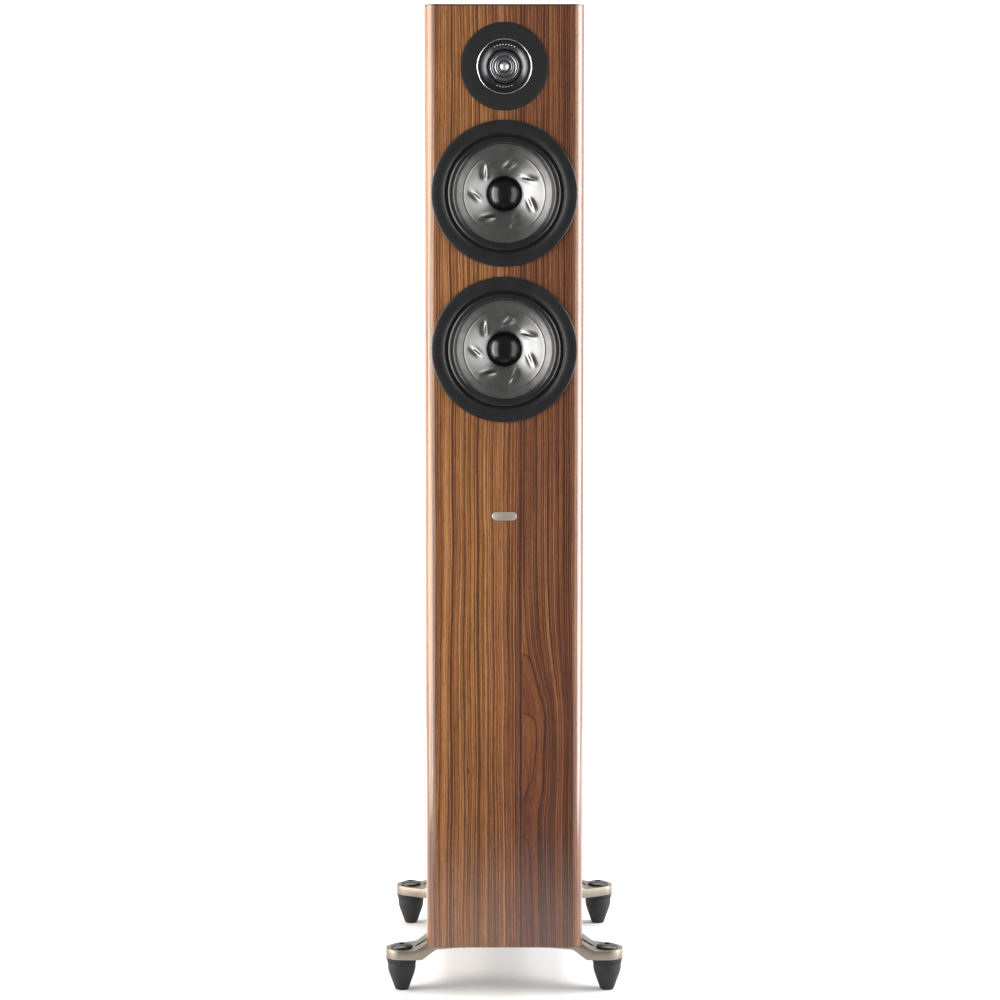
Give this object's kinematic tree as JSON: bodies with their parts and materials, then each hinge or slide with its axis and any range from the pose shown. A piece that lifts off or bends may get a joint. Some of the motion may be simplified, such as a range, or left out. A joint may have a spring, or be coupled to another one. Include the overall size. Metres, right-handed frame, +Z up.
{
  "type": "floorstanding speaker",
  "caption": "Slim wood-veneered floorstanding loudspeaker with a ring tweeter over metal-cone woofers, on outrigger arms with height-adjustable rubber feet.",
  "frame": {"origin": "on the floor, at the middle of the bounding box's base", "axes": "+Z up, the baffle faces -Y, +X to the right seen from the front"},
  "size_m": [0.2546, 0.3418, 1.048],
  "materials": {
    "veneered_board": "satin lacquered walnut veneer on board",
    "bare_board": "bare fibreboard",
    "black_lacquer": "satin black lacquer",
    "black_plastic": "satin gloss moulding",
    "red_plastic": "gloss moulding",
    "charcoal_plate": "fine matt lacquer",
    "bright_trim": "polished",
    "satin_nickel": "satin nickel",
    "satin_cone": "satin pressed cone",
    "black_dome": "satin dome",
    "dark_diaphragm": "coated diaphragm cloth",
    "rubber": "matt rubber",
    "steel": "plated",
    "ferrite": "ground ferrite",
    "treated_cloth": "resin-treated weave",
    "copper_wire": "enamelled copper winding",
    "gilt_brass": "gilt",
    "circuit_board": "fibreglass board",
    "pewter_casting": "bead-blasted casting with a pewter coat"
  },
  "bodies": {
    "root": {"front_baffle": "veneered_board", "left_side_panel": "veneered_board", "right_side_panel": "veneered_board", "top_panel": "veneered_board", "bottom_panel": "black_lacquer", "rear_panel": "veneered_board", "window_brace": "bare_board", "tweeter_faceplate": "charcoal_plate", "tweeter_accent_ring": "bright_trim", "tweeter_waveguide": "charcoal_plate", "tweeter_phase_plug": "bright_trim", "tweeter_motor": "steel", "reflex_port_tube": "black_plastic", "terminal_cup": "black_plastic", "binding_post_positive": "gilt_brass", "binding_post_negative": "gilt_brass", "crossover_board": "circuit_board", "crossover_inductor": "copper_wire", "front_badge": "satin_nickel", "upper_woofer_trim_ring": "black_plastic", "upper_woofer_basket": "black_lacquer", "upper_woofer_surround": "rubber", "upper_woofer_spider": "treated_cloth", "upper_woofer_top_plate": "steel", "upper_woofer_magnet": "ferrite", "upper_woofer_yoke": "steel", "lower_woofer_trim_ring": "black_plastic", "lower_woofer_basket": "black_lacquer", "lower_woofer_surround": "rubber", "lower_woofer_spider": "treated_cloth", "lower_woofer_top_plate": "steel", "lower_woofer_magnet": "ferrite", "lower_woofer_yoke": "steel", "outrigger_arm_front_left": "pewter_casting", "outrigger_arm_front_right": "pewter_casting", "outrigger_arm_rear_left": "pewter_casting", "outrigger_arm_rear_right": "pewter_casting"},
    "upper_woofer_moving": {"upper_woofer_cone": "satin_cone", "upper_woofer_dust_cap": "black_dome", "upper_woofer_voice_coil": "copper_wire"},
    "lower_woofer_moving": {"lower_woofer_cone": "satin_cone", "lower_woofer_dust_cap": "black_dome", "lower_woofer_voice_coil": "copper_wire"},
    "tweeter_moving": {"tweeter_diaphragm": "dark_diaphragm"},
    "foot_front_left": {"rubber_foot_front_left": "rubber", "levelling_stud_front_left": "steel"},
    "adjuster_front_left": {"adjuster_front_left": "black_plastic"},
    "foot_front_right": {"rubber_foot_front_right": "rubber", "levelling_stud_front_right": "steel"},
    "adjuster_front_right": {"adjuster_front_right": "black_plastic"},
    "foot_rear_left": {"rubber_foot_rear_left": "rubber", "levelling_stud_rear_left": "steel"},
    "adjuster_rear_left": {"adjuster_rear_left": "black_plastic"},
    "foot_rear_right": {"rubber_foot_rear_right": "rubber", "levelling_stud_rear_right": "steel"},
    "adjuster_rear_right": {"adjuster_rear_right": "black_plastic"},
    "clamp_negative": {"clamp_washer_negative": "gilt_brass"},
    "knob_negative": {"binding_knob_negative": "black_plastic"},
    "clamp_positive": {"clamp_washer_positive": "gilt_brass"},
    "knob_positive": {"binding_knob_positive": "red_plastic"}
  },
  "joints": [
    {"name": "upper_woofer_travel", "type": "slide", "parent": "root", "child": "upper_woofer_moving", "axis": [0, -1, 0], "range_m": [-0.005, 0.005], "stiffness_N_per_m": 1250, "deforming": ["upper_woofer_surround", "upper_woofer_spider"]},
    {"name": "lower_woofer_travel", "type": "slide", "parent": "root", "child": "lower_woofer_moving", "axis": [0, -1, 0], "range_m": [-0.005, 0.005], "stiffness_N_per_m": 1250, "deforming": ["lower_woofer_surround", "lower_woofer_spider"]},
    {"name": "tweeter_travel", "type": "slide", "parent": "root", "child": "tweeter_moving", "axis": [0, -1, 0], "range_m": [-0.0003, 0.0003], "stiffness_N_per_m": 1500},
    {"name": "adjuster_turn_front_left", "type": "hinge", "parent": "root", "child": "adjuster_front_left", "pos_m": [-0.1105, -0.1356, 0.046], "axis": [0, 0, 1], "range_deg": [0, 2304]},
    {"name": "foot_travel_front_left", "type": "slide", "parent": "root", "child": "foot_front_left", "axis": [0, 0, -1], "range_m": [0, 0.008]},
    {"name": "adjuster_turn_front_right", "type": "hinge", "parent": "root", "child": "adjuster_front_right", "pos_m": [0.1105, -0.1356, 0.046], "axis": [0, 0, 1], "range_deg": [0, 2304]},
    {"name": "foot_travel_front_right", "type": "slide", "parent": "root", "child": "foot_front_right", "axis": [0, 0, -1], "range_m": [0, 0.008]},
    {"name": "adjuster_turn_rear_left", "type": "hinge", "parent": "root", "child": "adjuster_rear_left", "pos_m": [-0.1105, 0.1394, 0.046], "axis": [0, 0, 1], "range_deg": [0, 2304]},
    {"name": "foot_travel_rear_left", "type": "slide", "parent": "root", "child": "foot_rear_left", "axis": [0, 0, -1], "range_m": [0, 0.008]},
    {"name": "adjuster_turn_rear_right", "type": "hinge", "parent": "root", "child": "adjuster_rear_right", "pos_m": [0.1105, 0.1394, 0.046], "axis": [0, 0, 1], "range_deg": [0, 2304]},
    {"name": "foot_travel_rear_right", "type": "slide", "parent": "root", "child": "foot_rear_right", "axis": [0, 0, -1], "range_m": [0, 0.008]},
    {"name": "clamp_travel_negative", "type": "slide", "parent": "root", "child": "clamp_negative", "axis": [0, 1, 0], "range_m": [0, 0.005]},
    {"name": "knob_turn_negative", "type": "hinge", "parent": "clamp_negative", "child": "knob_negative", "pos_m": [-0.0095, 0.1624, 0.19], "axis": [0, 1, 0], "range_deg": [0, 2250]},
    {"name": "clamp_travel_positive", "type": "slide", "parent": "root", "child": "clamp_positive", "axis": [0, 1, 0], "range_m": [0, 0.005]},
    {"name": "knob_turn_positive", "type": "hinge", "parent": "clamp_positive", "child": "knob_positive", "pos_m": [0.0095, 0.1624, 0.19], "axis": [0, 1, 0], "range_deg": [0, 2250]}
  ],
  "couplings": [
    {"joint": "adjuster_turn_front_left", "follows": "foot_travel_front_left", "rad_per_m": 5026},
    {"joint": "adjuster_turn_front_right", "follows": "foot_travel_front_right", "rad_per_m": 5026},
    {"joint": "adjuster_turn_rear_left", "follows": "foot_travel_rear_left", "rad_per_m": 5026},
    {"joint": "adjuster_turn_rear_right", "follows": "foot_travel_rear_right", "rad_per_m": 5026},
    {"joint": "knob_turn_negative", "follows": "clamp_travel_negative", "rad_per_m": 7853},
    {"joint": "knob_turn_positive", "follows": "clamp_travel_positive", "rad_per_m": 7853}
  ]
}
